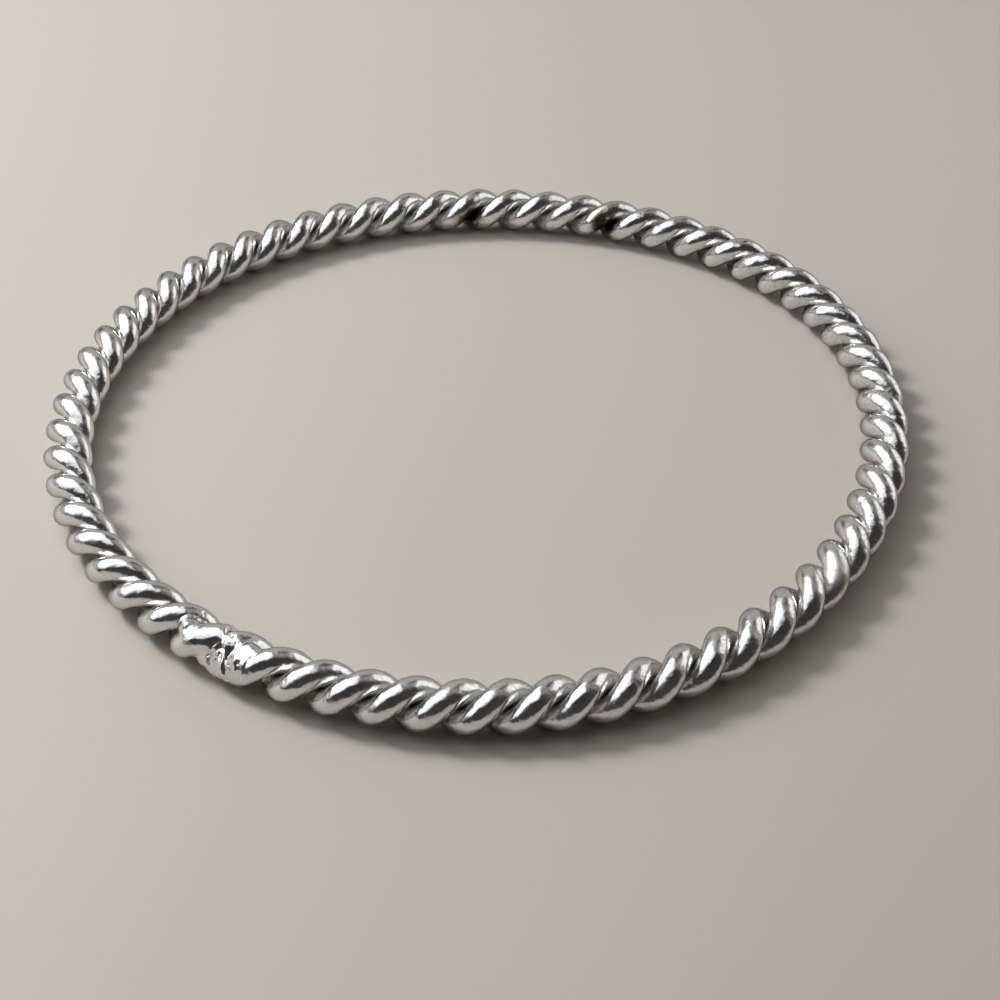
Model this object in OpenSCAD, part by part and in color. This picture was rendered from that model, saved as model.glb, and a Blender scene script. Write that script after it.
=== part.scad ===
// Twisted wire bangle: two round wires laid up as one rope, bent into a ring and soldered at one join.
// Millimetres, +Z up. The bangle lies flat, its lowest points are at z = 0 and its middle is at x = y = 0.
// Angles run counter-clockwise seen from above, from +X. The front is at -90 degrees, toward -Y.

/* [Ring] */
// Clear width inside the ring, between the wires' innermost points
inner_d = 65; // [60:0.5:70]
// How far the ring bulges to the left and right, and is drawn in at the front and back
oval = 0.42; // [0:0.02:1]
// How far the ring bulges toward three soft corners
three_corner = 0.37; // [0:0.01:0.8]
// Where the first of the three soft corners is, in degrees
three_corner_at = 35; // [0:1:120]
// How far the ring bulges toward four soft corners
four_corner = 0.15; // [0:0.01:0.4]
// Where the first of the four soft corners is, in degrees
four_corner_at = 22.5; // [0:0.5:90]

/* [Wires] */
// Thickness of each wire
wire_d = 2; // [1.8:0.1:2.2]
// Hairline gap between the two wires
wire_gap = 0.04; // [0.02:0.01:0.1]
// Length of rope that one full turn of the twist takes, in wire thicknesses
lay = 3.47; // [3.46:0.01:4.5]
// Direction of the first wire at the front, in degrees from level outward to up
first_wire_at = 38.5; // [0:0.5:180]
// How far the hand twist runs ahead and behind twice in a round, in degrees
twist_drift_two = 26; // [0:1:30]
// How far the hand twist runs ahead and behind three times in a round, in degrees
twist_drift_three = 30; // [0:1:30]

/* [Join] */
// Where the soldered join begins, in degrees round the ring
join_from = 227; // [224:0.5:228.5]
// Where the soldered join ends, in degrees round the ring
join_to = 245; // [244:0.5:248]
// Where the two cut ends butt, in degrees round the ring
seam_at = 237.6; // [235:0.1:239]
// How far the saw cut leans, in degrees round the ring from its middle to its inner edge
seam_lean = 1.4; // [0:0.1:2]
// How far the twist is out of step across the seam, in turns
seam_step = 0.25; // [0:0.05:0.45]
// How far the twist of the end that leads into the seam lags behind by the seam, in degrees
end_lag = 32; // [0:1:45]
// Least radius that the solder fills round the rope's axis at the seam
solder_fill = 1.45; // [1.2:0.05:1.7]
// Radius that the solder reaches where it gathered in the grooves
solder_pool = 1.95; // [1.5:0.05:2]

/* [Mesh] */
// Sides of each wire
wire_sides = 9; // [7:2:9]
// Rings of each wire in one turn of the twist
rings_a_turn = 12; // [11:1:14]
// Sides of the soldered join
join_sides = 28; // [16:4:32]
// Rings of the soldered join
join_rings = 36; // [24:2:40]

/* [Hidden] */
up = [0, 0, 1];

wire_r = wire_d / 2;
// How far the many-sided wire stands outside the round one where it faces out, and inside it where
// it faces the other wire
proud = wire_r * (sqrt(2 * PI / wire_sides / sin(360 / wire_sides)) - 1);
// Distance of each wire's axis from the rope's axis
strand_r = (wire_d + wire_gap) / 2;
rope_r = strand_r + wire_r + proud;
mean_r = inner_d / 2 + wire_r + strand_r;
turns = round(2 * PI * mean_r / (lay * wire_d)) + seam_step;
// Tangent of the angle between a wire and the rope's axis
lay_slope = strand_r * turns / mean_r;
lay_sine = lay_slope / sqrt(1 + lay_slope * lay_slope);
// Distance left between a wire's end and the join's flat end
seat_gap = 0.02;
// Softness of the meniscus where solder meets wire, and of the step at the seam
meniscus = 0.45;
seam_soft = 0.5;
// Radius that the solder has thinned to at the join's ends, and how far it takes to get there
thin_fill = 1.05;
fill_run = 3.4;
// Direction round the rope, from level outward to up, in which the leaning saw cut comes first
lean_toward = 138;
// Degrees of the ring over which the twist comes to lag, up to the seam
lag_run = 5;
// Largest share of the rope's radius that solder may reach, so that the bangle still lies on its wires
most_pooled = 0.955;
pool_r = min(solder_pool, most_pooled * rope_r);
// Where the solder gathered: [degrees round the ring, direction round the rope, run along it, run round
// it, share of pool_r that it reaches]
POOLS = [
    [231.3, 66, 1.6, 1.7, 1],
    [236.8, -26, 2.6, 1.4, 1],
    [238.9, 8, 1.2, 1.3, 0.95],
    [240.1, 44, 1.1, 1.1, 1],
    [240.5, 82, 1.4, 1.2, 1],
    [236.4, -90, 3, 1.9, 0.93],
    [237.2, 176, 2, 1.5, 0.87],
];
// Power to which pools that overlap are raised and summed: the higher it is, the less they swell each other
pools_merge = 4;

// The ring's bent axis: its radius, and how fast that grows with the angle in radians
function ring_r(a) = mean_r + oval * cos(2 * a) + three_corner * cos(3 * (a - three_corner_at))
    + four_corner * cos(4 * (a - four_corner_at));
function ring_growth(a) = -2 * oval * sin(2 * a) - 3 * three_corner * sin(3 * (a - three_corner_at))
    - 4 * four_corner * sin(4 * (a - four_corner_at));
// Half of what opposite sides differ by, taken off so that the middle stays at x = y = 0
middle = [ring_r(0) - ring_r(180), ring_r(90) - ring_r(270), -2 * rope_r] / 2;
function axis_at(a) = [ring_r(a) * cos(a), ring_r(a) * sin(a), 0] - middle;
// Level direction away from the ring's middle, square to the bent axis
function outward(a) = let(b = a - atan(ring_growth(a) / ring_r(a))) [cos(b), sin(b), 0];
// Direction along the bent axis, counter-clockwise
function along(a) = cross(up, outward(a));

// The twist, as the first wire's direction round the rope's axis. It grows with the angle: a left-hand lay
function twist(a) = let(b = a + 90)
    first_wire_at + turns * b - twist_drift_two * (cos(2 * b) - 1) + twist_drift_three * sin(3 * b);
function round_rope(a, t) = cos(t) * outward(a) + sin(t) * up;
function wire_axis(a, start) = axis_at(a) + strand_r * round_rope(a, twist(a) + start);

function unit(v) = v / norm(v);
// Radius of the many-sided wire at corner direction c, which is 0 away from the rope's axis
function corner_r(c) = wire_r + proud * cos(c);
// A point on a wire's skin at corner direction c, in the section square to the wire itself
function skin_at(a, start, c) =
    let(
        run = unit(wire_axis(a + 0.05, start) - wire_axis(a - 0.05, start)),
        side = unit(cross(run, round_rope(a, twist(a) + start))),
        out = cross(side, run)
    )
    wire_axis(a, start) + corner_r(c) * (cos(c) * out + sin(c) * side);
// The same skin sampled so that a whole ring of corners lies about square to the rope
function corner_at(a, start, c) = skin_at(a - corner_r(c) * lay_sine * sin(c) / mean_r * 180 / PI, start, c);
// An end ring's corner, slid along the wire onto the flat plane across the rope at angle a
function end_corner(a, start, c) =
    let(p = corner_at(a, start, c), q = corner_at(a + 0.1, start, c), run = q - p)
    p - run * ((p - axis_at(a)) * along(a)) / (run * along(a));

// Joins rings of points into one closed skin, each four-sided patch cut along its shorter diagonal
// and each end fanned from the middle of its ring
module tube(rings) {
    n = len(rings[0]);
    last = len(rings) - 1;
    middles = [for (r = [rings[0], rings[last]]) [for (p = r) 1] * r / n];
    points = concat([for (r = rings) each r], middles);
    sides = [for (i = [0:last - 1], j = [0:n - 1])
        let(a = i * n + j, b = i * n + (j + 1) % n)
        each norm(points[a] - points[b + n]) < norm(points[b] - points[a + n])
            ? [[a, a + n, b + n], [b + n, b, a]] : [[a, a + n, b], [b, a + n, b + n]]];
    ends = [for (j = [0:n - 1]) each
        [[len(points) - 2, j, (j + 1) % n],
         [len(points) - 1, last * n + (j + 1) % n, last * n + j]]];
    polyhedron(points, concat(sides, ends));
}

// One wire, from the join's far end once round to the join's near end
module wire(start) {
    gap_angle = seat_gap / mean_r * 180 / PI;
    from = join_to - 360 + gap_angle;
    to = join_from - gap_angle;
    count = round((to - from) / 360 * turns * rings_a_turn);
    corners = [for (j = [0:wire_sides - 1]) j * 360 / wire_sides];
    tube([for (i = [0:count])
        let(a = from + (to - from) * i / count)
        [for (c = corners) i == 0 || i == count ? end_corner(a, start, c) : corner_at(a, start, c)]]);
}

module wire_one() {
    color("silver") wire(0);
}

module wire_two() {
    color("lightgray") wire(180);
}

// A slanting wire cut square across the rope. Point t of its outline lies at radius section_r(t), and
// at section_turn(t) degrees from the wire's own direction
function section_r(t) =
    let(slant = 1 + pow(lay_slope * sin(t), 2), reach = strand_r * cos(t))
    (reach + sqrt(max(reach * reach - slant * (strand_r * strand_r - wire_r * wire_r), 0))) / slant;
function section_turn(t) = t + section_r(t) * lay_slope * lay_slope / strand_r * sin(t) * 180 / PI;
// Radius of that outline at turn d from the wire's direction, by halving the range that holds it
function section_at(d, low = 0, high = 90, steps = 12) =
    let(mid = (low + high) / 2)
    steps == 0 ? section_r(mid)
    : section_turn(mid) < d ? section_at(d, mid, high, steps - 1) : section_at(d, low, mid, steps - 1);
// Radius of the bare rope at angle a round the ring, in direction t round the rope, its twist lagging
function bare_r(a, t, lag) =
    let(d = (t - twist(a) + lag) % 180, e = abs(d))
    section_at(min(e, 180 - e));

function bell(x) = exp(-x * x);
function mm_round(degrees) = degrees * mean_r * PI / 180;
function soft_max(a, b, k) = max(a, b) + pow(max(k - abs(a - b), 0), 2) / k / 4;
function soft_step(x) = let(y = min(max(x, 0), 1)) y * y * (3 - 2 * y);
// How far along the ring a point lies past the leaning seam
function past_seam(a, t) = mm_round(a - seam_at + seam_lean * cos(t - lean_toward));
// How far a pool rises above the flood
function pool(p, a, t, flood) =
    let(side = (t - p[1] + 540) % 360 - 180, reach = pool_r * p[4])
    max(reach - flood, 0) * bell(mm_round(a - p[0]) / p[2]) * bell(side * PI / 180 * reach / p[3]);
function fill_r(a, t) =
    let(
        flood = thin_fill + (solder_fill - thin_fill) * bell(mm_round(a - seam_at) / fill_run),
        rises = [for (p = POOLS) pow(pool(p, a, t, flood), pools_merge)]
    )
    flood + pow(rises * [for (p = POOLS) 1], 1 / pools_merge);
// Radius of the soldered join: both ropes' ends, stepped at the seam, and the solder over them
function join_r(a, t) =
    let(
        step = soft_step(past_seam(a, t) / seam_soft + 0.5),
        lag = end_lag * soft_step((a - seam_at) / lag_run + 1)
    )
    soft_max(bare_r(a, t, lag) * (1 - step) + bare_r(a - 360, t, 0) * step, fill_r(a, t), meniscus);

module solder_join() {
    color("gainsboro") tube([for (i = [0:join_rings - 1])
        let(a = join_from + (join_to - join_from) * i / (join_rings - 1))
        [for (j = [0:join_sides - 1])
            let(t = -j * 360 / join_sides) axis_at(a) + join_r(a, t) * round_rope(a, t)]]);
}

wire_one();
wire_two();
solder_join();
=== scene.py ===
"""Twisted wire bangle in polished silver: two round wires laid up as one rope, closed by one soldered join.

Lengths are in millimetres until the very last step of each surface, which puts them in metres. Angles a
round the ring run counter-clockwise seen from above, from +X, and directions t round the rope run from
level outward to straight up. Both are in radians, and in the tables of places below in degrees.
"""
import bpy
import numpy as np
from mathutils import Matrix, Vector


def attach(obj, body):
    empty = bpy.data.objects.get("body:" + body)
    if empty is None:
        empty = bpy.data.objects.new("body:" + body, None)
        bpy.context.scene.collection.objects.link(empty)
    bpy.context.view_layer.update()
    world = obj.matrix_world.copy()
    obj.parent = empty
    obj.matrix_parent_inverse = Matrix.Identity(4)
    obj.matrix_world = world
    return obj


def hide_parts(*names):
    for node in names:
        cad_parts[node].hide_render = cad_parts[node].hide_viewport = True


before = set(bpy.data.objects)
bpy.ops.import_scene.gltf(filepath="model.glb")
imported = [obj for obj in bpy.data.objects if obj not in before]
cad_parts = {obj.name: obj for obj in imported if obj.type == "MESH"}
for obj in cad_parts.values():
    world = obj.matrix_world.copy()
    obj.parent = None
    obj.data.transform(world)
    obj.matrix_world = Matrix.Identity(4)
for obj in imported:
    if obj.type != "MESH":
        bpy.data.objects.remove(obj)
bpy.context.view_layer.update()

MM = 0.001
TURN = 2 * np.pi

# Ring: clear width inside it, and how far it bulges toward its sides, three soft corners and four
INNER_D = 65.0
OVAL = 0.42
THREE_CORNER, THREE_CORNER_AT = 0.37, np.radians(35)
FOUR_CORNER, FOUR_CORNER_AT = 0.15, np.radians(22.5)

# Wires: radius, hairline gap between them, and length of rope that one turn takes, in wire thicknesses
WIRE_R = 1.0
WIRE_GAP = 0.04
LAY = 3.47
# Where the twist is counted from, and the first wire's direction round the rope there
FRONT = np.radians(-90)
FIRST_WIRE_AT = np.radians(38.5)
# How far the hand twist runs ahead and behind, twice and three times in a round
DRIFT_TWO, DRIFT_THREE = np.radians(26), np.radians(30)

# Join: where it begins and ends, where the two cut ends butt, and how far and which way the saw cut leans
JOIN_FROM, JOIN_TO = np.radians(227), np.radians(245)
SEAM_AT = np.radians(237.6)
SEAM_LEAN, LEAN_TOWARD = np.radians(1.4), np.radians(138)
# How far the twist is out of step across the seam, in turns, and the length over which the skin steps there
SEAM_STEP, SEAM_SOFT = 0.25, 0.5
# How far the twist of the end that leads into the seam lags by the seam, and the stretch over which it does
END_LAG, LAG_RUN = np.radians(32), np.radians(5)
# The hairline that the solder left open at the seam: half its width, and its depth
SEAM_LINE, SEAM_DEPTH = 0.06, 0.05

# How proud the many-sided wires of the solids stand of round ones. The rope's axis lies as high as theirs
PROUD = 0.0417
# Distance of a wire's axis from the rope's, height of the rope's axis, its mean radius, and turns of the twist
STRAND_R = WIRE_R + WIRE_GAP / 2
AXIS_UP = STRAND_R + WIRE_R + PROUD
MEAN_R = INNER_D / 2 + WIRE_R + STRAND_R
TURNS = round(TURN * MEAN_R / (LAY * 2 * WIRE_R)) + SEAM_STEP

# Solder: radius it fills at the seam and at the join's ends, and how fast it thins
SOLDER_FILL, THIN_FILL, FILL_RUN = 1.45, 0.15, 3.4
# Where it gathered: place round the ring and direction round the rope, run along the rope and run round it,
# and the share of SOLDER_POOL that it reaches
SOLDER_POOL = 1.95
POOLS = [
    (231.3, 66, 1.6, 1.7, 1),
    (236.8, -26, 2.6, 1.4, 1),
    (238.9, 8, 1.2, 1.3, 0.95),
    (240.1, 44, 1.1, 1.1, 1),
    (240.5, 82, 1.4, 1.2, 1),
    (236.4, -90, 3, 1.9, 0.93),
    (237.2, 176, 2, 1.5, 0.87),
]
# Power to which pools that overlap are raised and summed: the higher, the less they swell each other
POOLS_MERGE = 4
# Width over which solder meets wire, the least of it, and the length over which it widens from the join's ends
MENISCUS, LEAST_MENISCUS, END_TAPER = 0.45, 0.02, 2.2
# Thickness over which solder comes to hide the wire's finish, and the share of it that it starts with
HIDING, HIDDEN_FROM = 0.1, 0.2
# How far the solder's skin strays, and where it is pitted: places round the ring and round the rope, spread
# along and round the rope, and number of pits
SOLDER_WAVER = 0.09
PITTED = [
    (238.6, 20, 0.3, 0.5, 14),
    (231.9, 122, 0.3, 0.3, 9),
    (237.4, 104, 0.25, 0.25, 8),
    (236.8, 35, 0.5, 0.3, 6),
    (236.0, 60, 3.0, 3.0, 30),
]
PITS_SEED = 11
PIT_SMALLEST, PIT_LARGEST = 0.04, 0.13
# Depth of a pit as a share of its size
PIT_DEPTH = 0.4

# Fineness of the surfaces
RINGS_A_TURN, WIRE_SIDES = 56, 44
JOIN_RINGS, JOIN_SIDES = 380, 240
# Radius at which the lengths round the join's surface are taken
JOIN_R = 1.6
# Step to either side, in radians, over which the run of a wire is taken
NUDGE = 1e-4
# How the bare rope's skin is found: halvings of the first guess, steps that then close in on the skin, the
# least slope that a step counts with, the largest radius tried, and how near the skin counts as found
HALVINGS, SKIN_STEPS = 22, 6
LEAST_SLOPE, LARGEST_R, NEAR_SKIN = 0.3, 2.1, 0.02

# How far the wires' skin strays from round, and the waves in which it does: length, and rises a turn
WAVER = 0.03
HAND_WAVES = [(0.95, 3), (1.25, -2), (1.9, 1), (3.1, -1), (1.5, 4), (2.3, -3)]
# How far each wire's skin stands out where it is pressed onto the other, a little more than half the gap so
# that no light shows between them, and the power by which that fades away round the wire
PRESSED, PRESSED_FADE = WIRE_GAP / 2 + 0.005, 8
# How far each wire runs on into the join, and how far the one dips below the other where it ends
RUN_IN, DIP = 1.5, 0.02

# Places where the finish differs: degrees round the ring and round the rope, run along the rope and round
# it, and how strongly. Tarnish goes from yellow through brown to black
TARNISHED = [(91.0, -165, 1.0, 1.2, 1.4), (66.6, 165, 0.9, 1.3, 1.4), (320.3, 30, 1.2, 0.5, 0.2)]
DULLED = [(319.7, 65, 1.2, 1.5, 1), (231.5, 5, 1.0, 1.2, 1), (237.6, 95, 0.4, 0.5, 0.8)]
# Where round the ring the polish is most worn, and how worn it is there and on the far side
WORN_AT, MOST_WORN, LEAST_WORN = np.radians(10), 1.0, 0.15


def ring_r(a):
    """Radius of the ring's bent axis: a circle with waves of two, three and four bulges a round."""
    return (MEAN_R + OVAL * np.cos(2 * a) + THREE_CORNER * np.cos(3 * (a - THREE_CORNER_AT))
            + FOUR_CORNER * np.cos(4 * (a - FOUR_CORNER_AT)))


def ring_growth(a):
    """How fast ring_r grows with the angle: the derivative of its waves."""
    return (-2 * OVAL * np.sin(2 * a) - 3 * THREE_CORNER * np.sin(3 * (a - THREE_CORNER_AT))
            - 4 * FOUR_CORNER * np.sin(4 * (a - FOUR_CORNER_AT)))


# Half of what opposite sides differ by, and the height of the rope's axis downward. Taken off, they put the
# ring's middle over the origin and its lowest lobes on the floor
MIDDLE = np.array([ring_r(0) - ring_r(np.pi), ring_r(np.pi / 2) - ring_r(FRONT), -2 * AXIS_UP]) / 2


def axis_at(a):
    """A point of the bent axis: its radius at a, less the middle between opposite sides."""
    return np.stack([ring_r(a) * np.cos(a), ring_r(a) * np.sin(a), 0 * a], -1) - MIDDLE


def round_rope(a, t):
    """Unit direction t round the rope at a: cos t of level outward, square to the axis, and sin t of up."""
    b = a - np.arctan(ring_growth(a) / ring_r(a))
    return np.stack([np.cos(t) * np.cos(b), np.cos(t) * np.sin(b), np.sin(t) + 0 * b], -1)


def twist(a):
    """Direction of the first wire: an even turning, with waves of two and of three a round added to it."""
    return (FIRST_WIRE_AT + TURNS * (a - FRONT) - DRIFT_TWO * (np.cos(2 * (a - FRONT)) - 1)
            + DRIFT_THREE * np.sin(3 * (a - FRONT)))


def lay_slope(a):
    """Tangent of the angle between wire and rope: how far a wire goes round per length of rope."""
    speed = TURNS + 2 * DRIFT_TWO * np.sin(2 * (a - FRONT)) + 3 * DRIFT_THREE * np.cos(3 * (a - FRONT))
    return STRAND_R * speed / ring_r(a)


def wire_axis(a, start):
    """A wire's own axis: STRAND_R from the rope's axis in the direction twist + start."""
    return axis_at(a) + STRAND_R * round_rope(a, twist(a) + start)


def wire_run(a, start):
    """Where a wire's own axis goes, in millimetres a radian: the difference over a small step, by the step."""
    return (wire_axis(a + NUDGE, start) - wire_axis(a - NUDGE, start)) / (2 * NUDGE)


def unit(v):
    """Directions of vectors: each divided by its length."""
    return v / np.linalg.norm(v, axis=-1, keepdims=True)


def soft_step(x):
    """0 below 0, 1 above 1, and between them three times the square less twice the cube."""
    y = np.clip(x, 0, 1)
    return y * y * (3 - 2 * y)


def bell(x):
    """1 at 0, falling away on both sides as e to the minus square."""
    return np.exp(-x * x)


def half_turned(t):
    """An angle brought to between half a turn back and half a turn ahead."""
    return (t + np.pi) % TURN - np.pi


def rope_place(points):
    """Where points lie on the rope: place round the ring, direction round the rope, distance from its axis."""
    x, y, z = np.moveaxis(points + MIDDLE, -1, 0)
    a = np.arctan2(y, x)
    out = np.hypot(x, y) - ring_r(a)
    return a, np.arctan2(z, out), np.hypot(out, z)


def marked(spots, points):
    """How strongly the finish is marked at each point: a bell round each spot, and the strongest of them."""
    a, t, r = rope_place(points)
    strongest = np.zeros(a.shape)
    for at, toward, run, about, strength in spots:
        along = MEAN_R * half_turned(a - np.radians(at))
        side = r * half_turned(t - np.radians(toward))
        strongest = np.maximum(strongest, strength * bell(along / run) * bell(side / about))
    return strongest


def worn(points):
    """How worn the polish is: most at one place round the ring, and less the further off, as a cosine."""
    a = rope_place(points)[0]
    return LEAST_WORN + (MOST_WORN - LEAST_WORN) * (0.5 + 0.5 * np.cos(a - WORN_AT))


def skin_marks(points, groove, solder):
    """What the finish reads at each point: how deep in the groove and how soldered it is, as given, and how
    tarnished, dull and worn, from where it lies."""
    return {"groove": groove, "solder": solder, "tarnish": marked(TARNISHED, points),
            "dull": marked(DULLED, points), "worn": worn(points)}


def uneven(length, about):
    """Unevenness from twisting and polishing by hand: the mean of slanting waves, each of its own length,
    number of rises round the wire and phase."""
    waves = [np.sin(TURN * length / run + rises * about + phase)
             for phase, (run, rises) in enumerate(HAND_WAVES)]
    return sum(waves) / len(waves)


def tube_mesh(name, points, marks, uv):
    """Rings of points joined into one closed skin: a four-sided face between each two neighbours of
    neighbouring rings, and a fan from the middle of the first and the last ring. marks are values kept
    on the points under their names. uv gives the surface's own lengths: how far along it each ring lies,
    and how far round it one side takes."""
    rings, sides = points.shape[:2]
    i, j = np.meshgrid(np.arange(rings - 1), np.arange(sides), indexing="ij")
    here, beside = i * sides + j, i * sides + (j + 1) % sides
    quads = np.stack([here, here + sides, beside + sides, beside], -1).reshape(-1, 4)
    j = np.arange(sides)
    last = (rings - 1) * sides
    first_fan = np.stack([0 * j + rings * sides, j, (j + 1) % sides], -1)
    last_fan = np.stack([0 * j + rings * sides + 1, last + (j + 1) % sides, last + j], -1)
    middles = points[[0, -1]].mean(1)
    every = np.concatenate([points.reshape(-1, 3), middles]) * MM
    mesh = bpy.data.meshes.new(name)
    mesh.from_pydata(every.tolist(), [], quads.tolist() + first_fan.tolist() + last_fan.tolist())
    mesh.shade_smooth()
    for mark, values in marks.items():
        layer = mesh.attributes.new(mark, "FLOAT", "POINT")
        layer.data.foreach_set("value", np.concatenate([values.ravel(), values[[0, -1]].mean(1)]))

    # The last side of a ring runs on round to where the first began, and the fans keep one place
    layer = mesh.uv_layers.new(name="surface")
    along, about = uv
    fan_corners = 3 * sides
    face_along = np.concatenate([along[quads // sides].ravel(), np.repeat(along[[0, -1]], fan_corners)])
    wrapped = np.stack([j, j, j + 1, j + 1], -1)
    face_about = np.concatenate([np.tile(wrapped, (rings - 1, 1)).ravel(), np.zeros(2 * fan_corners)]) * about
    layer.data.foreach_set("uv", np.stack([face_along, face_about], -1).ravel())
    obj = bpy.data.objects.new(name, mesh)
    bpy.context.scene.collection.objects.link(obj)
    return obj


def wire(name, start):
    """A round wire wound on the rope: a circle of radius WIRE_R square to the wire's own axis, uneven where it
    shows and pressed onto the other wire where they touch, carried along that axis from the join's far end
    once round to its near end. Both ends dip below the join."""
    low, high = JOIN_TO - TURN - RUN_IN / MEAN_R, JOIN_FROM + RUN_IN / MEAN_R
    a = np.linspace(low, high, round((high - low) / TURN * TURNS * RINGS_A_TURN))
    c = np.pi - np.arange(WIRE_SIDES) * TURN / WIRE_SIDES
    centre = wire_axis(a, start)
    side = unit(np.cross(unit(wire_run(a, start)), round_rope(a, twist(a) + start)))
    out = np.cross(side, unit(wire_run(a, start)))
    ray = np.cos(c)[:, None] * out[:, None] + np.sin(c)[:, None] * side[:, None]
    length = np.append(0, np.cumsum(np.linalg.norm(np.diff(centre, axis=0), axis=-1)))
    shown = 0.5 + 0.5 * np.cos(c)
    dip = DIP * (1 - soft_step(MEAN_R * np.minimum(a - low, high - a) / RUN_IN))
    skin = (WIRE_R - dip[:, None] + WAVER * shown * uneven(length[:, None], c + start)
            + PRESSED * (1 - shown) ** PRESSED_FADE)
    points = centre[:, None] + skin[..., None] * ray
    marks = skin_marks(points, np.broadcast_to(1 - shown, skin.shape), np.zeros(skin.shape))
    return tube_mesh(name, points, marks, (length, TURN * WIRE_R / WIRE_SIDES))


def soft_max(a, b, k):
    """The larger of the two, rounded over within k of where they are equal."""
    return np.maximum(a, b) + np.maximum(k - np.abs(a - b), 0) ** 2 / k / 4


def section_at(d, slope):
    """Radius of a slanting wire cut square across the rope, at turn d from the wire's own direction. Point t
    of the cut lies at radius r(t) and turn t + r(t) slope^2 / STRAND_R sin t; t is found by halving."""
    def r(t):
        """Where a ray at t leaves the cut: the larger root of the ellipse that the slanting wire is cut to."""
        slant = 1 + (slope * np.sin(t)) ** 2
        reach = STRAND_R * np.cos(t)
        return (reach + np.sqrt(np.maximum(reach ** 2 - slant * (STRAND_R ** 2 - WIRE_R ** 2), 0))) / slant
    low, high = np.zeros_like(d), np.full_like(d, np.pi / 2)
    for _ in range(HALVINGS):
        mid = (low + high) / 2
        short = mid + r(mid) * slope ** 2 / STRAND_R * np.sin(mid) < d
        low, high = np.where(short, mid, low), np.where(short, high, mid)
    return r((low + high) / 2)


def bare_r(a, t, rounds, lag):
    """Radius of the bare rope at a, in direction t, after the given number of whole rounds of the ring and
    with its twist lagging: where a ray from the rope's axis leaves the nearer wire. The slanting cut gives a
    first guess. Each step then moves along the wire to the point beside the ray's end, and along the ray to
    the skin. Deep in the groove, where no skin is found, it is THIN_FILL."""
    b = a - rounds * TURN
    turned = (t - twist(b) + lag) % np.pi
    start = np.pi * np.round((t - twist(b) + lag) / np.pi) - lag
    radius = section_at(np.minimum(turned, np.pi - turned), lay_slope(b))
    centre, ray = axis_at(a), round_rope(a, t)
    for _ in range(SKIN_STEPS):
        end = centre + radius[..., None] * ray
        run = wire_run(b, start)
        b = b + ((end - wire_axis(b, start)) * run).sum(-1) / (run * run).sum(-1)
        away = end - wire_axis(b, start)
        far = np.linalg.norm(away, axis=-1)
        radius = radius + (WIRE_R - far) / np.maximum((away * ray).sum(-1) / far, LEAST_SLOPE)
        radius = np.clip(radius, THIN_FILL, LARGEST_R)
    return np.where(np.abs(far - WIRE_R) < NEAR_SKIN, radius, THIN_FILL)


def past_seam(a, t):
    """Millimetres along the rope past the saw cut, which leans by a cosine of the direction round the rope."""
    return MEAN_R * (a - SEAM_AT + SEAM_LEAN * np.cos(t - LEAN_TOWARD))


def fill_r(a, t):
    """Radius the solder reaches: thinning as a bell away from the seam, with a bell-shaped pool on top of
    it at each place where it gathered. Pools that overlap merge as the root of their summed powers."""
    flood = THIN_FILL + (SOLDER_FILL - THIN_FILL) * bell(MEAN_R * (a - SEAM_AT) / FILL_RUN)
    pooled = 0
    for at, toward, run, about, share in POOLS:
        reach = SOLDER_POOL * share
        side = half_turned(t - np.radians(toward))
        rise = (reach - flood) * bell(MEAN_R * (a - np.radians(at)) / run) * bell(side * reach / about)
        pooled = pooled + rise ** POOLS_MERGE
    return flood + pooled ** (1 / POOLS_MERGE)


def pits(a, t):
    """Depth of the solder's pits: round bells, strewn at random about each pitted place."""
    chance = np.random.default_rng(PITS_SEED)
    depth = np.zeros(a.shape)
    for at, toward, run, about, count in PITTED:
        for along, side, size in zip(chance.normal(0, run, count), chance.normal(0, about, count),
                                     chance.uniform(PIT_SMALLEST, PIT_LARGEST, count)):
            past = MEAN_R * (a - np.radians(at)) - along
            beside = SOLDER_FILL * half_turned(t - np.radians(toward)) - side
            depth = np.maximum(depth, PIT_DEPTH * size * bell(past / size) * bell(beside / size))
    return depth


def solder_join(name):
    """The join's skin: in each direction t round the rope and at each place a along it, the larger of the
    bare rope, stepped at the seam, and the solder, softened where they meet. The solder is uneven and
    pitted, and a hairline is left open at the seam. All of it fades out to the bare rope at the ends, which
    dip below the wires."""
    a, t = np.meshgrid(np.linspace(JOIN_FROM, JOIN_TO, JOIN_RINGS),
                       np.arange(JOIN_SIDES) * TURN / JOIN_SIDES - np.pi / 2, indexing="ij")
    step = soft_step(past_seam(a, t) / SEAM_SOFT + 0.5)
    lag = END_LAG * soft_step((a - SEAM_AT) / LAG_RUN + 1)
    bare = bare_r(a, t, 0, lag) * (1 - step) + bare_r(a, t, 1, 0) * step
    from_end = MEAN_R * np.minimum(a - JOIN_FROM, JOIN_TO - a)
    taper = soft_step(from_end / END_TAPER)
    fill = THIN_FILL + (fill_r(a, t) - THIN_FILL) * taper
    skin = soft_max(bare, fill, LEAST_MENISCUS + MENISCUS * taper)
    skin = skin - DIP * (1 - soft_step(from_end / RUN_IN))
    soldered = soft_step((skin - bare) / HIDING + HIDDEN_FROM) * taper
    skin = skin + taper * (soldered * SOLDER_WAVER * uneven(MEAN_R * a, t) - pits(a, t)
                           - SEAM_DEPTH * bell(past_seam(a, t) / SEAM_LINE))
    points = axis_at(a) + skin[..., None] * round_rope(a, t)
    marks = skin_marks(points, np.clip(1 - skin / (2 * WIRE_R), 0, 1), soldered)
    return tube_mesh(name, points, marks, (MEAN_R * (a[:, 0] - JOIN_FROM), TURN * JOIN_R / JOIN_SIDES))


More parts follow.
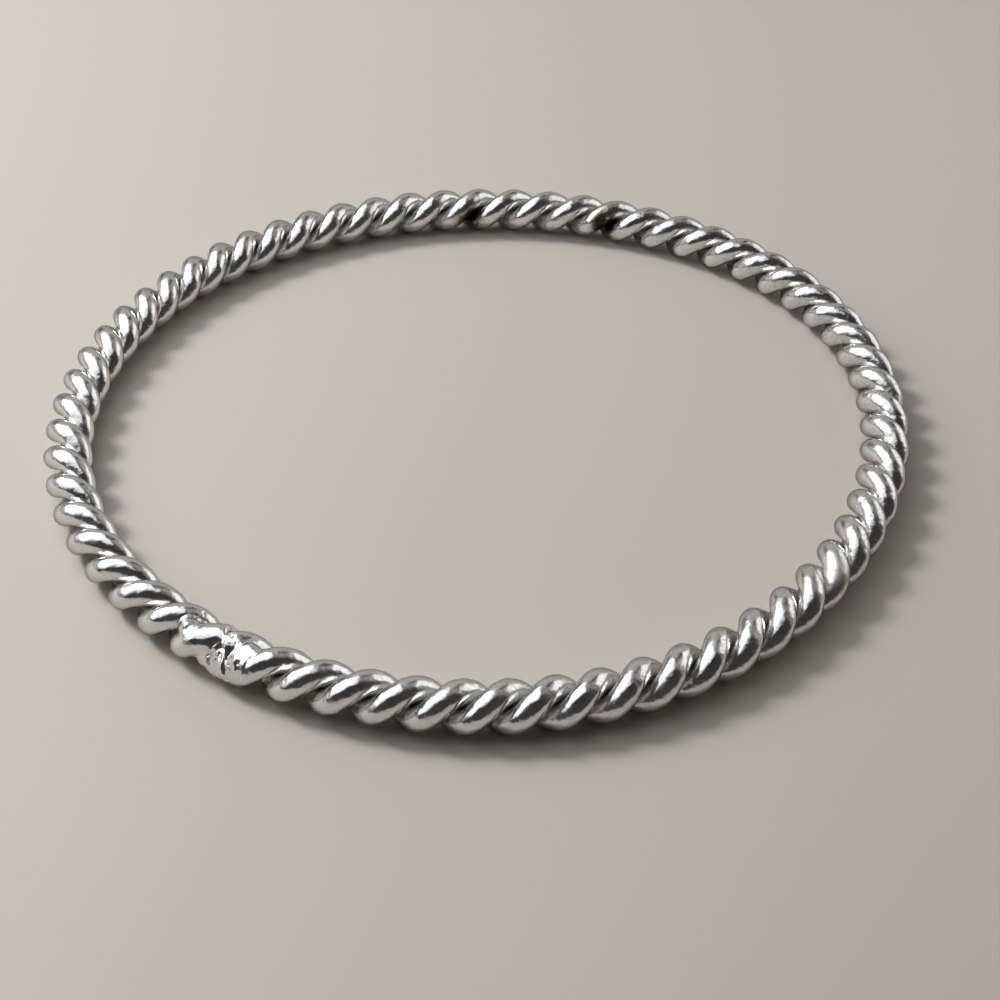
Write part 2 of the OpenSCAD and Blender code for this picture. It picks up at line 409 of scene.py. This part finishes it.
# Finish. The silver's colour, and how much of its shine it keeps where it is seen edge on
SILVER = (0.82, 0.815, 0.805)
EDGE = (0.4, 0.39, 0.38)
# Tarnish as it thickens, and the painted shade deep in the grooves that is drawn in the same colours: how
# thick, and its colour
TARNISH_AND_GROOVE_SHADE = [
    (0.1, (0.6, 0.59, 0.57)),
    (0.2, (0.6, 0.56, 0.48)),
    (0.4, (0.26, 0.22, 0.17)),
    (0.7, (0.06, 0.05, 0.04)),
    (1, (0.03, 0.025, 0.02)),
]
# Patterns all over the silver: how many cells a metre, and layers of detail
CLOUDS, GRAIN, DENTS = (650, 5), (5200, 3), (1700, 1)
# Patterns that run with the wire: cells a millimetre along it and round it, slant, scale and layers of detail
LINES = ((0.7, 9, 1), 0.0, 1, 4)
NICKS = ((6, 1.1, 1), 0.6, 1.5, 2)
# How one value is turned into another: the range that counts, and what it becomes from end to end of it.
# Nicks from their pattern, and how clouds fray the tarnish
NICKED, FRAYED = (0.72, 0.78, 0.0, 1.0), (0.35, 0.65, 0.3, 1.5)
# Painted shade deep in the grooves, drawn in tarnish's colours, and the specks of tarnish in the grain, more
# where it is cloudy
PAINTED_GROOVE_SHADE = (0.91, 0.98, 0.0, 0.7)
SPECKLED, SPECKS_CLOUDED = (0.42, 0.62, 0.0, 1.0), (0.3, 0.6, 0.02, 0.09)
# How much rougher the solder's grain and the grooves make it, and the range of the clouds that makes it so
SOLDER_ROUGH, GROOVE_ROUGH = (0.35, 0.65, 0.0, 0.08), (0.4, 0.9, 0.0, 0.16)
CLOUDED = (0.35, 0.72)
# How much rougher it is where it is dull, tarnished or under the painted groove shade, and nicked
DULL_ROUGH, TARNISH_AND_SHADE_ROUGH, NICK_ROUGH = 0.3, 0.35, 0.12
# Depth of the shallow dents that twisting and handling left, how much deeper they are in the solder, and
# depth of the fine grain of the worn skin, in millimetres
DENT_DEPTH, SOLDER_DENTS, GRAIN_DEPTH = 0.045, 0.09, 0.008


def material(name, base, metallic, roughness, edge=(1, 1, 1)):
    """A node material with one shader, whose plain values are set on its own sockets."""
    mat = bpy.data.materials.new(name)
    mat.use_nodes = True
    shader = mat.node_tree.nodes["Principled BSDF"]
    shader.inputs["Base Color"].default_value = (*base, 1)
    shader.inputs["Metallic"].default_value = metallic
    shader.inputs["Roughness"].default_value = roughness
    shader.inputs["Specular Tint"].default_value = (*edge, 1)
    return mat, mat.node_tree, shader


def add(tree, kind, inputs, **settings):
    """A node of this kind: each input takes a value, or a link where it is given another node's output."""
    made = tree.nodes.new("ShaderNode" + kind)
    for setting, value in settings.items():
        setattr(made, setting, value)
    for socket, value in inputs.items():
        if isinstance(value, bpy.types.NodeSocket):
            tree.links.new(value, made.inputs[socket])
        else:
            made.inputs[socket].default_value = value
    return made


def combine(tree, operation, first, second=0.0, third=0.0):
    """The outcome of one operation on up to three values."""
    return add(tree, "Math", {0: first, 1: second, 2: third}, operation=operation).outputs[0]


def plus(tree, total, value, share):
    """The total with a share of the value added."""
    return combine(tree, "MULTIPLY_ADD", value, share, total)


def spread(tree, value, low, high, to_low, to_high):
    """A value stretched from one range to another, held within it and softened at both ends."""
    return add(tree, "MapRange", {"Value": value, "From Min": low, "From Max": high, "To Min": to_low,
                                  "To Max": to_high}, interpolation_type="SMOOTHSTEP").outputs["Result"]


def mark(tree, name):
    """A mark that tube_mesh has kept on the points."""
    return add(tree, "Attribute", {}, attribute_name=name).outputs["Fac"]


def noise(tree, place, scale, detail):
    """Soft random values, in so many cells to one unit of place and with layers of finer ones."""
    return add(tree, "TexNoise", {"Vector": place, "Scale": scale, "Detail": detail}).outputs["Fac"]


def run_with_wire(tree, surface, stretch, slant, scale, detail):
    """Noise on the surface's own lengths, stretched along and round the wire and turned by slant radians."""
    place = add(tree, "Mapping", {"Vector": surface, "Scale": stretch, "Rotation": (0, 0, slant)})
    return noise(tree, place.outputs["Vector"], scale, detail)


def silver_finish(name, polish, worked, streaks):
    """Polished silver. polish is the roughness of clean metal, worked how much rougher it is in cloudy
    patches, and streaks the depth of the fine lines along the wire in millimetres."""
    mat, tree, shader = material(name, SILVER, 1.0, polish, EDGE)
    place = add(tree, "TexCoord", {}).outputs
    groove, solder, worn_mark = mark(tree, "groove"), mark(tree, "solder"), mark(tree, "worn")
    clouds = noise(tree, place["Object"], *CLOUDS)
    grain = noise(tree, place["Object"], *GRAIN)
    # Fine lines along the wire from drawing and polishing, and nicks across it
    lines = run_with_wire(tree, place["UV"], *LINES)
    nicks = spread(tree, run_with_wire(tree, place["UV"], *NICKS), *NICKED)

    # Tarnish: what is marked, frayed by the clouds, and specks where it is worn; and painted shade deep in the
    # grooves, in the same colours
    frayed = combine(tree, "MULTIPLY", spread(tree, clouds, *FRAYED), mark(tree, "tarnish"))
    painted_groove_shade = spread(tree, groove, *PAINTED_GROOVE_SHADE)
    specks = combine(tree, "MULTIPLY", spread(tree, grain, *SPECKLED), spread(tree, clouds, *SPECKS_CLOUDED))
    specks = combine(tree, "MULTIPLY", specks, worn_mark)
    # From here on tarnish holds the painted groove shade as well as the real tarnish
    tarnish = combine(tree, "MAXIMUM", combine(tree, "MAXIMUM", frayed, painted_groove_shade), specks)
    tint = add(tree, "ValToRGB", {"Fac": tarnish})
    stops = tint.color_ramp.elements
    stops[0].color = (*SILVER, 1)
    stops[1].color = (*TARNISH_AND_GROOVE_SHADE[-1][1], 1)
    for at, colour in TARNISH_AND_GROOVE_SHADE[:-1]:
        stops.new(at).color = (*colour, 1)
    tree.links.new(tint.outputs["Color"], shader.inputs["Base Color"])

    # Roughness: clouds, and more where it is soldered, in the grooves, dull, tarnished or under the painted
    # groove shade, or nicked
    rough = spread(tree, clouds, *CLOUDED, polish, polish + worked)
    rough = plus(tree, rough, solder, spread(tree, grain, *SOLDER_ROUGH))
    rough = combine(tree, "ADD", spread(tree, groove, *GROOVE_ROUGH), rough)
    rough = plus(tree, rough, mark(tree, "dull"), DULL_ROUGH)
    rough = plus(tree, rough, tarnish, TARNISH_AND_SHADE_ROUGH)
    rough = plus(tree, rough, nicks, NICK_ROUGH)
    tree.links.new(rough, shader.inputs["Roughness"])

    # Relief, in millimetres: shallow dents, fine lines, the worn skin's grain, nicks, and the solder's grain
    relief = combine(tree, "MULTIPLY", noise(tree, place["Object"], *DENTS),
                     plus(tree, DENT_DEPTH, solder, SOLDER_DENTS))
    relief = plus(tree, relief, lines, streaks)
    relief = plus(tree, relief, grain, combine(tree, "MULTIPLY", worn_mark, GRAIN_DEPTH))
    relief = plus(tree, relief, nicks, -streaks)
    relief = plus(tree, relief, combine(tree, "MULTIPLY", solder, grain), streaks)
    bump = add(tree, "Bump", {"Height": relief, "Distance": MM, "Strength": 1.0})
    tree.links.new(bump.outputs["Normal"], shader.inputs["Normal"])
    return mat


wire_silver = silver_finish("polished_silver", polish=0.15, worked=0.10, streaks=0.005)
join_silver = silver_finish("soldered_silver", polish=0.13, worked=0.10, streaks=0.006)
for piece, node, finish, slot in (
    (wire("wire_one_round", 0.0), "wire_one", wire_silver, "silver_wire"),
    (wire("wire_two_round", np.pi), "wire_two", wire_silver, "silver_wire"),
    (solder_join("solder_join_fused"), "solder_join", join_silver, "silver_solder"),
):
    piece.data.materials.append(finish)
    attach(piece, "root")
    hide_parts(node)

# Floor: width in metres, colour and roughness
FLOOR_WIDTH, FLOOR_COLOUR, FLOOR_ROUGH = 4, (0.42, 0.395, 0.365), 0.6
bpy.ops.mesh.primitive_plane_add(size=FLOOR_WIDTH)
floor = bpy.context.object
floor.name = "floor"
floor.data.materials.append(material("pale_floor", FLOOR_COLOUR, 0.0, FLOOR_ROUGH)[0])

# Light
COOL, WARM, WHITE = (0.93, 0.97, 1.0), (1.0, 0.96, 0.9), (1.0, 1.0, 1.0)
# Soft lamps: middle of the face and width and height in metres, the azimuth and elevation that the face
# looks down from and its turn in its own plane in degrees, brightness of the face, and colour. Azimuth 0 is
# behind the bangle and 90 to its right
LEFT_FACE = (-146, 61.5, -45)
LAMPS = {
    "left_softbox": ((-0.186, 0.075, 0.184), (0.38, 0.36), LEFT_FACE, 0.9, COOL),
    "left_softbox_middle": ((-0.180, 0.073, 0.178), (0.27, 0.25), LEFT_FACE, 1.0, WHITE),
    "left_key": ((-0.380, 0.200, 0.420), (0.14, 0.14), (-62, 44, 0), 46.0, WARM),
    "right_softbox": ((0.150, 0.056, 0.080), (0.15, 0.118), (80, 18, 0), 0.7, WHITE),
}
# The room: how bright it is in front and behind and the colours there, how far to the front and to the back
# the one passes into the other, what is left of it overhead, and the elevations between which it fades
ROOM_FRONT, ROOM_BACK = 0.045, 0.45
FRONT_TINT, BACK_TINT = (1.0, 0.88, 0.84), (1.0, 0.96, 0.92)
FRONT_TO_BACK = (-0.35, 0.2)
ROOM_OVERHEAD, OVERHEAD = 0.6, (25, 70)
# Darker gaps in its back wall: azimuth, elevation, width, height and softness of edges in degrees, and how
# much darker
GAPS = [(-36, 8, 24, 30, 6, 0.3), (32, 48, 20, 32, 8, 0.3)]
# How often light may bounce on from wire to wire deep in the grooves
GROOVE_BOUNCES = 12


def sky_way(azimuth, elevation):
    """Unit direction: level by the elevation's cosine, at this azimuth, and up by its sine."""
    azimuth, elevation = np.radians((azimuth, elevation))
    level = np.cos(elevation)
    return Vector((np.sin(azimuth) * level, np.cos(azimuth) * level, np.sin(elevation)))


def softbox(name, middle, size, face, glow, colour):
    """A flat rectangular lamp whose face shines away from the direction that it looks down from. Its power is
    the brightness of its face times pi times its area."""
    lamp = bpy.data.lights.new(name, "AREA")
    lamp.shape = "RECTANGLE"
    lamp.size, lamp.size_y = size
    lamp.energy = glow * np.pi * size[0] * size[1]
    lamp.color = colour
    azimuth, elevation, turned = face
    back = sky_way(azimuth, elevation)
    across = Vector((np.cos(np.radians(azimuth)), -np.sin(np.radians(azimuth)), 0))
    across = Matrix.Rotation(np.radians(turned), 3, back) @ across
    axes = Matrix((across, back.cross(across), back)).transposed()
    obj = bpy.data.objects.new(name, lamp)
    obj.matrix_world = Matrix.Translation(Vector(middle)) @ axes.to_4x4()
    obj.visible_camera = False
    bpy.context.scene.collection.objects.link(obj)


def room_light():
    """Light of a plain room: dim in front and bright behind, dimmer overhead, and less where its back wall
    has a gap, in a rectangle of azimuth and elevation with soft edges."""
    world = bpy.data.worlds.new("room")
    bpy.context.scene.world = world
    world.use_nodes = True
    tree = world.node_tree
    way = add(tree, "SeparateXYZ", {"Vector": add(tree, "TexCoord", {}).outputs["Generated"]}).outputs
    azimuth = combine(tree, "DEGREES", combine(tree, "ARCTAN2", way["X"], way["Y"]))
    elevation = combine(tree, "DEGREES", combine(tree, "ARCSINE", way["Z"]))
    room = spread(tree, way["Y"], *FRONT_TO_BACK, ROOM_FRONT, ROOM_BACK)
    room = combine(tree, "MULTIPLY", room, spread(tree, elevation, *OVERHEAD, 1.0, ROOM_OVERHEAD))
    for beside, above, across, high, soft, darker in GAPS:
        off = combine(tree, "ABSOLUTE", combine(tree, "SUBTRACT", azimuth, beside))
        gap = spread(tree, off, across / 2 - soft, across / 2 + soft, darker, 0.0)
        off = combine(tree, "ABSOLUTE", combine(tree, "SUBTRACT", elevation, above))
        gap = combine(tree, "MULTIPLY", gap, spread(tree, off, high / 2 - soft, high / 2 + soft, 1.0, 0.0))
        room = combine(tree, "SUBTRACT", room, gap)
    tint = add(tree, "ValToRGB", {"Fac": spread(tree, way["Y"], *FRONT_TO_BACK, 0.0, 1.0)})
    for stop, colour in zip(tint.color_ramp.elements, (FRONT_TINT, BACK_TINT)):
        stop.color = (*colour, 1)
    background = tree.nodes["Background"]
    tree.links.new(tint.outputs["Color"], background.inputs["Color"])
    tree.links.new(room, background.inputs["Strength"])


for name, settings in LAMPS.items():
    softbox(name, *settings)
room_light()
bpy.context.scene.view_settings.view_transform = "Standard"
bpy.context.scene.cycles.glossy_bounces = GROOVE_BOUNCES

# Camera, at the photograph's viewing angle
CAMERA_AT = np.array([0.096, -112.998, 89.031]) * MM
CAMERA_YAW, CAMERA_DOWN, CAMERA_ROLL = np.radians([-0.8805, 40.6214, -0.6251])
# Width of its sensor and length of its lens in millimetres, and the nearest that it sees in metres
SENSOR, LENS, NEAREST = 36, 59.289, 0.005
camera = bpy.data.objects.new("camera", bpy.data.cameras.new("camera"))
camera.data.sensor_width = SENSOR
camera.data.lens = LENS
camera.data.clip_start = NEAREST
camera.matrix_world = (Matrix.Translation(Vector(CAMERA_AT)) @ Matrix.Rotation(CAMERA_YAW, 4, "Z")
                       @ Matrix.Rotation(np.pi / 2 - CAMERA_DOWN, 4, "X")
                       @ Matrix.Rotation(CAMERA_ROLL, 4, "Z"))
bpy.context.scene.collection.objects.link(camera)
bpy.context.scene.camera = camera
